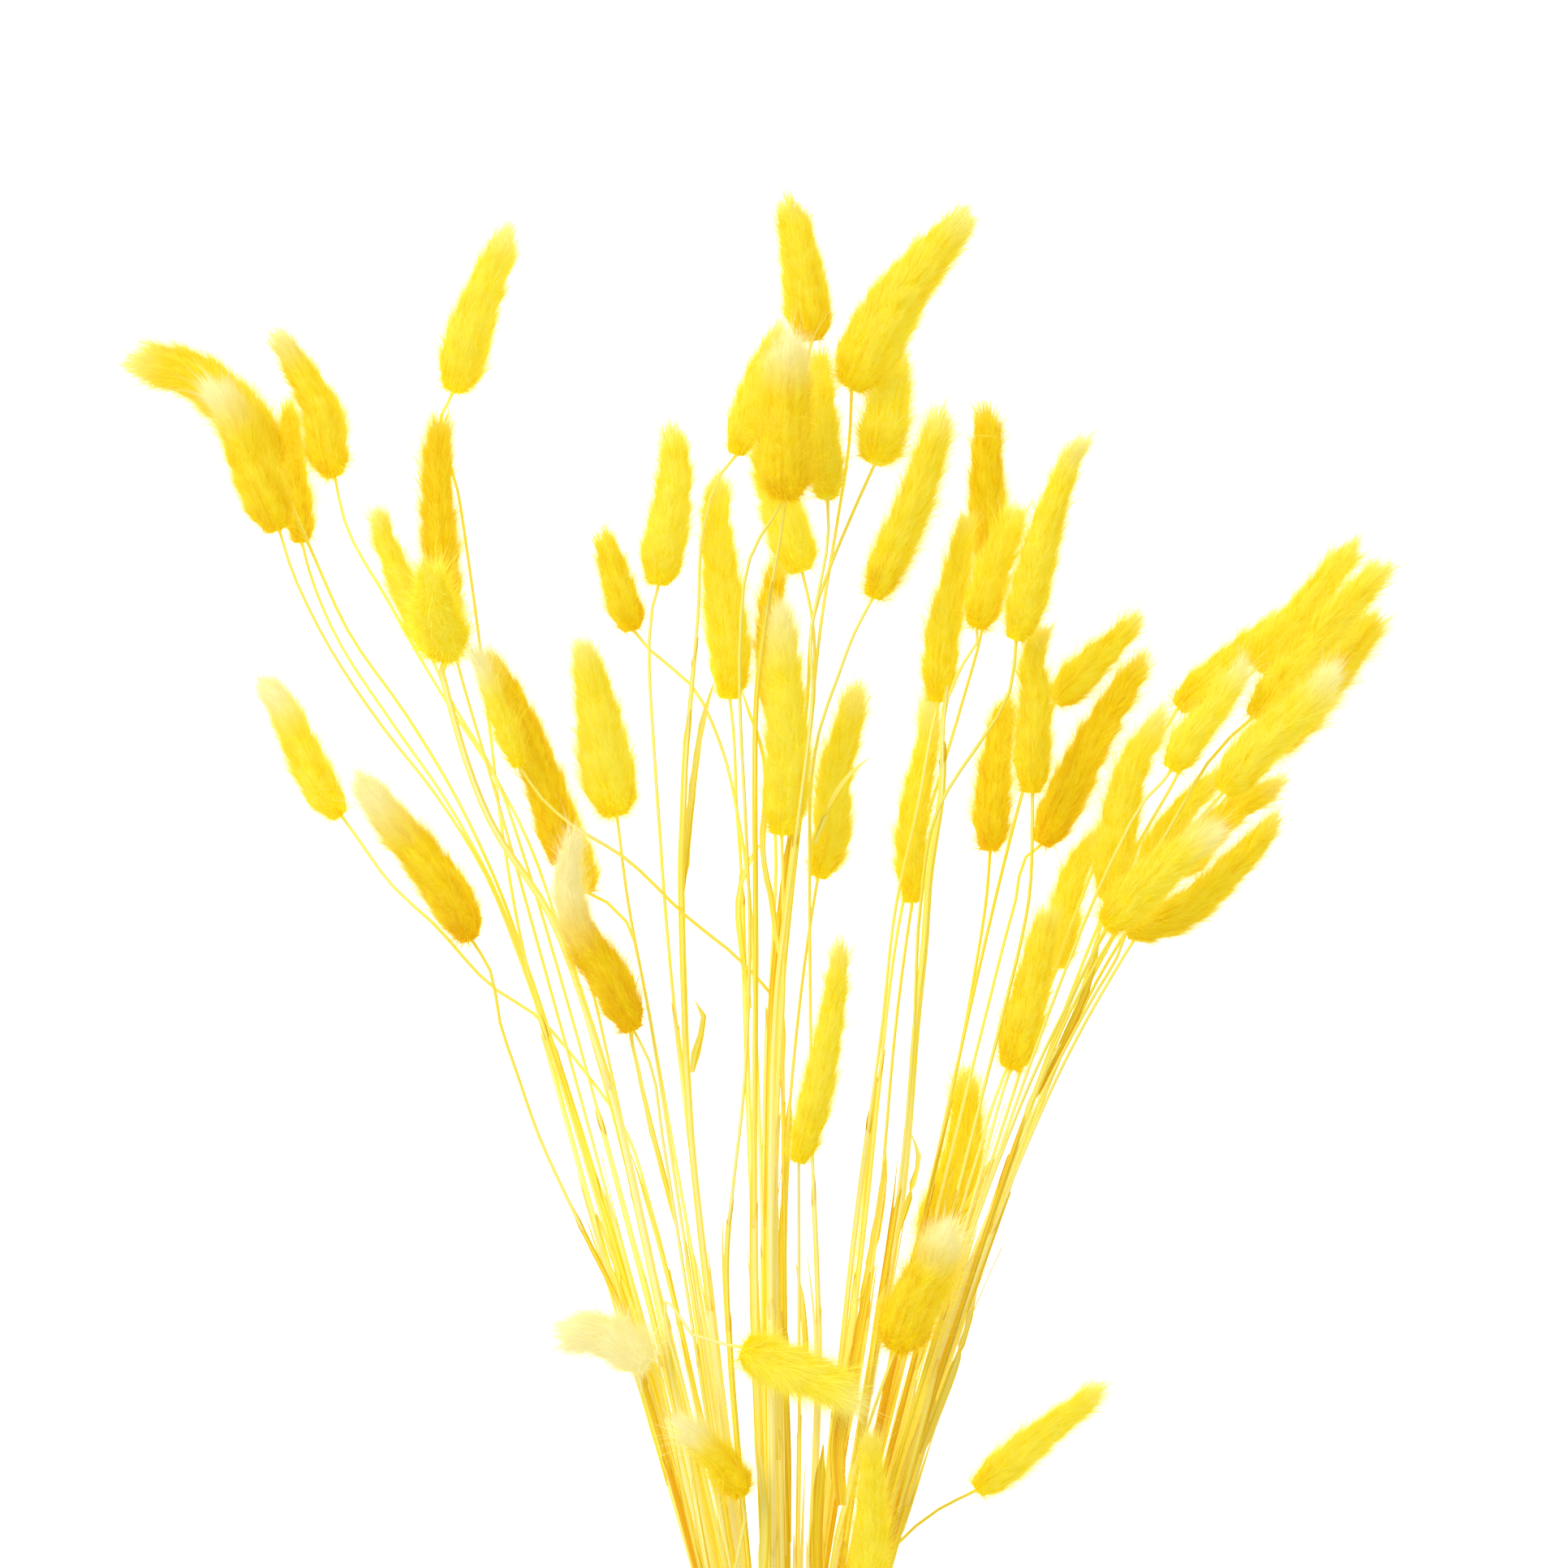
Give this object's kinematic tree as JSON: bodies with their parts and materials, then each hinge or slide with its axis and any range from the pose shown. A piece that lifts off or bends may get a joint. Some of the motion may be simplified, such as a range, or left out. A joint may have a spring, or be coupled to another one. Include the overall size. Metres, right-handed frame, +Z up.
{
  "type": "dried bunny tail grass bunch",
  "caption": "Tied bunch of dried, yellow-dyed bunny tail grass: furry oval heads on thin straw stems that fan out from a twine tie.",
  "frame": {"origin": "under the middle of the whole bunch, on the surface that it lies on", "axes": "+Z up from the surface, +Y along the bunch from the cut ends to the heads, +X to the right seen from above"},
  "size_m": [0.3838, 0.5806, 0.1032],
  "materials": {
    "dyed_grass": "dry, furry and matt",
    "twine": "twisted fibre, matt"
  },
  "bodies": {
    "root": {"bunny_tail_01": "dyed_grass", "bunny_tail_02": "dyed_grass", "bunny_tail_03": "dyed_grass", "bunny_tail_04": "dyed_grass", "bunny_tail_05": "dyed_grass", "bunny_tail_06": "dyed_grass", "bunny_tail_07": "dyed_grass", "bunny_tail_08": "dyed_grass", "bunny_tail_09": "dyed_grass", "bunny_tail_10": "dyed_grass", "bunny_tail_11": "dyed_grass", "bunny_tail_12": "dyed_grass", "bunny_tail_13": "dyed_grass", "bunny_tail_14": "dyed_grass", "bunny_tail_15": "dyed_grass", "bunny_tail_16": "dyed_grass", "bunny_tail_17": "dyed_grass", "bunny_tail_18": "dyed_grass", "bunny_tail_19": "dyed_grass", "bunny_tail_20": "dyed_grass", "bunny_tail_21": "dyed_grass", "bunny_tail_22": "dyed_grass", "bunny_tail_23": "dyed_grass", "bunny_tail_24": "dyed_grass", "bunny_tail_25": "dyed_grass", "bunny_tail_26": "dyed_grass", "bunny_tail_27": "dyed_grass", "bunny_tail_28": "dyed_grass", "bunny_tail_29": "dyed_grass", "bunny_tail_30": "dyed_grass", "bunny_tail_31": "dyed_grass", "bunny_tail_32": "dyed_grass", "bunny_tail_33": "dyed_grass", "bunny_tail_34": "dyed_grass", "bunny_tail_35": "dyed_grass", "bunny_tail_36": "dyed_grass", "bunny_tail_37": "dyed_grass", "bunny_tail_38": "dyed_grass", "bunny_tail_39": "dyed_grass", "bunny_tail_40": "dyed_grass", "bunny_tail_41": "dyed_grass", "bunny_tail_42": "dyed_grass", "bunny_tail_43": "dyed_grass", "bunny_tail_44": "dyed_grass", "bunny_tail_45": "dyed_grass", "bunny_tail_46": "dyed_grass", "bunny_tail_47": "dyed_grass", "bunny_tail_48": "dyed_grass", "bunny_tail_49": "dyed_grass", "bunny_tail_50": "dyed_grass", "bunny_tail_51": "dyed_grass", "bunny_tail_52": "dyed_grass", "bunny_tail_53": "dyed_grass", "bunny_tail_54": "dyed_grass", "bunny_tail_55": "dyed_grass", "bunny_tail_56": "dyed_grass", "bunny_tail_57": "dyed_grass", "bunny_tail_58": "dyed_grass", "bunny_tail_59": "dyed_grass", "twine_tie": "twine"}
  },
  "joints": []
}
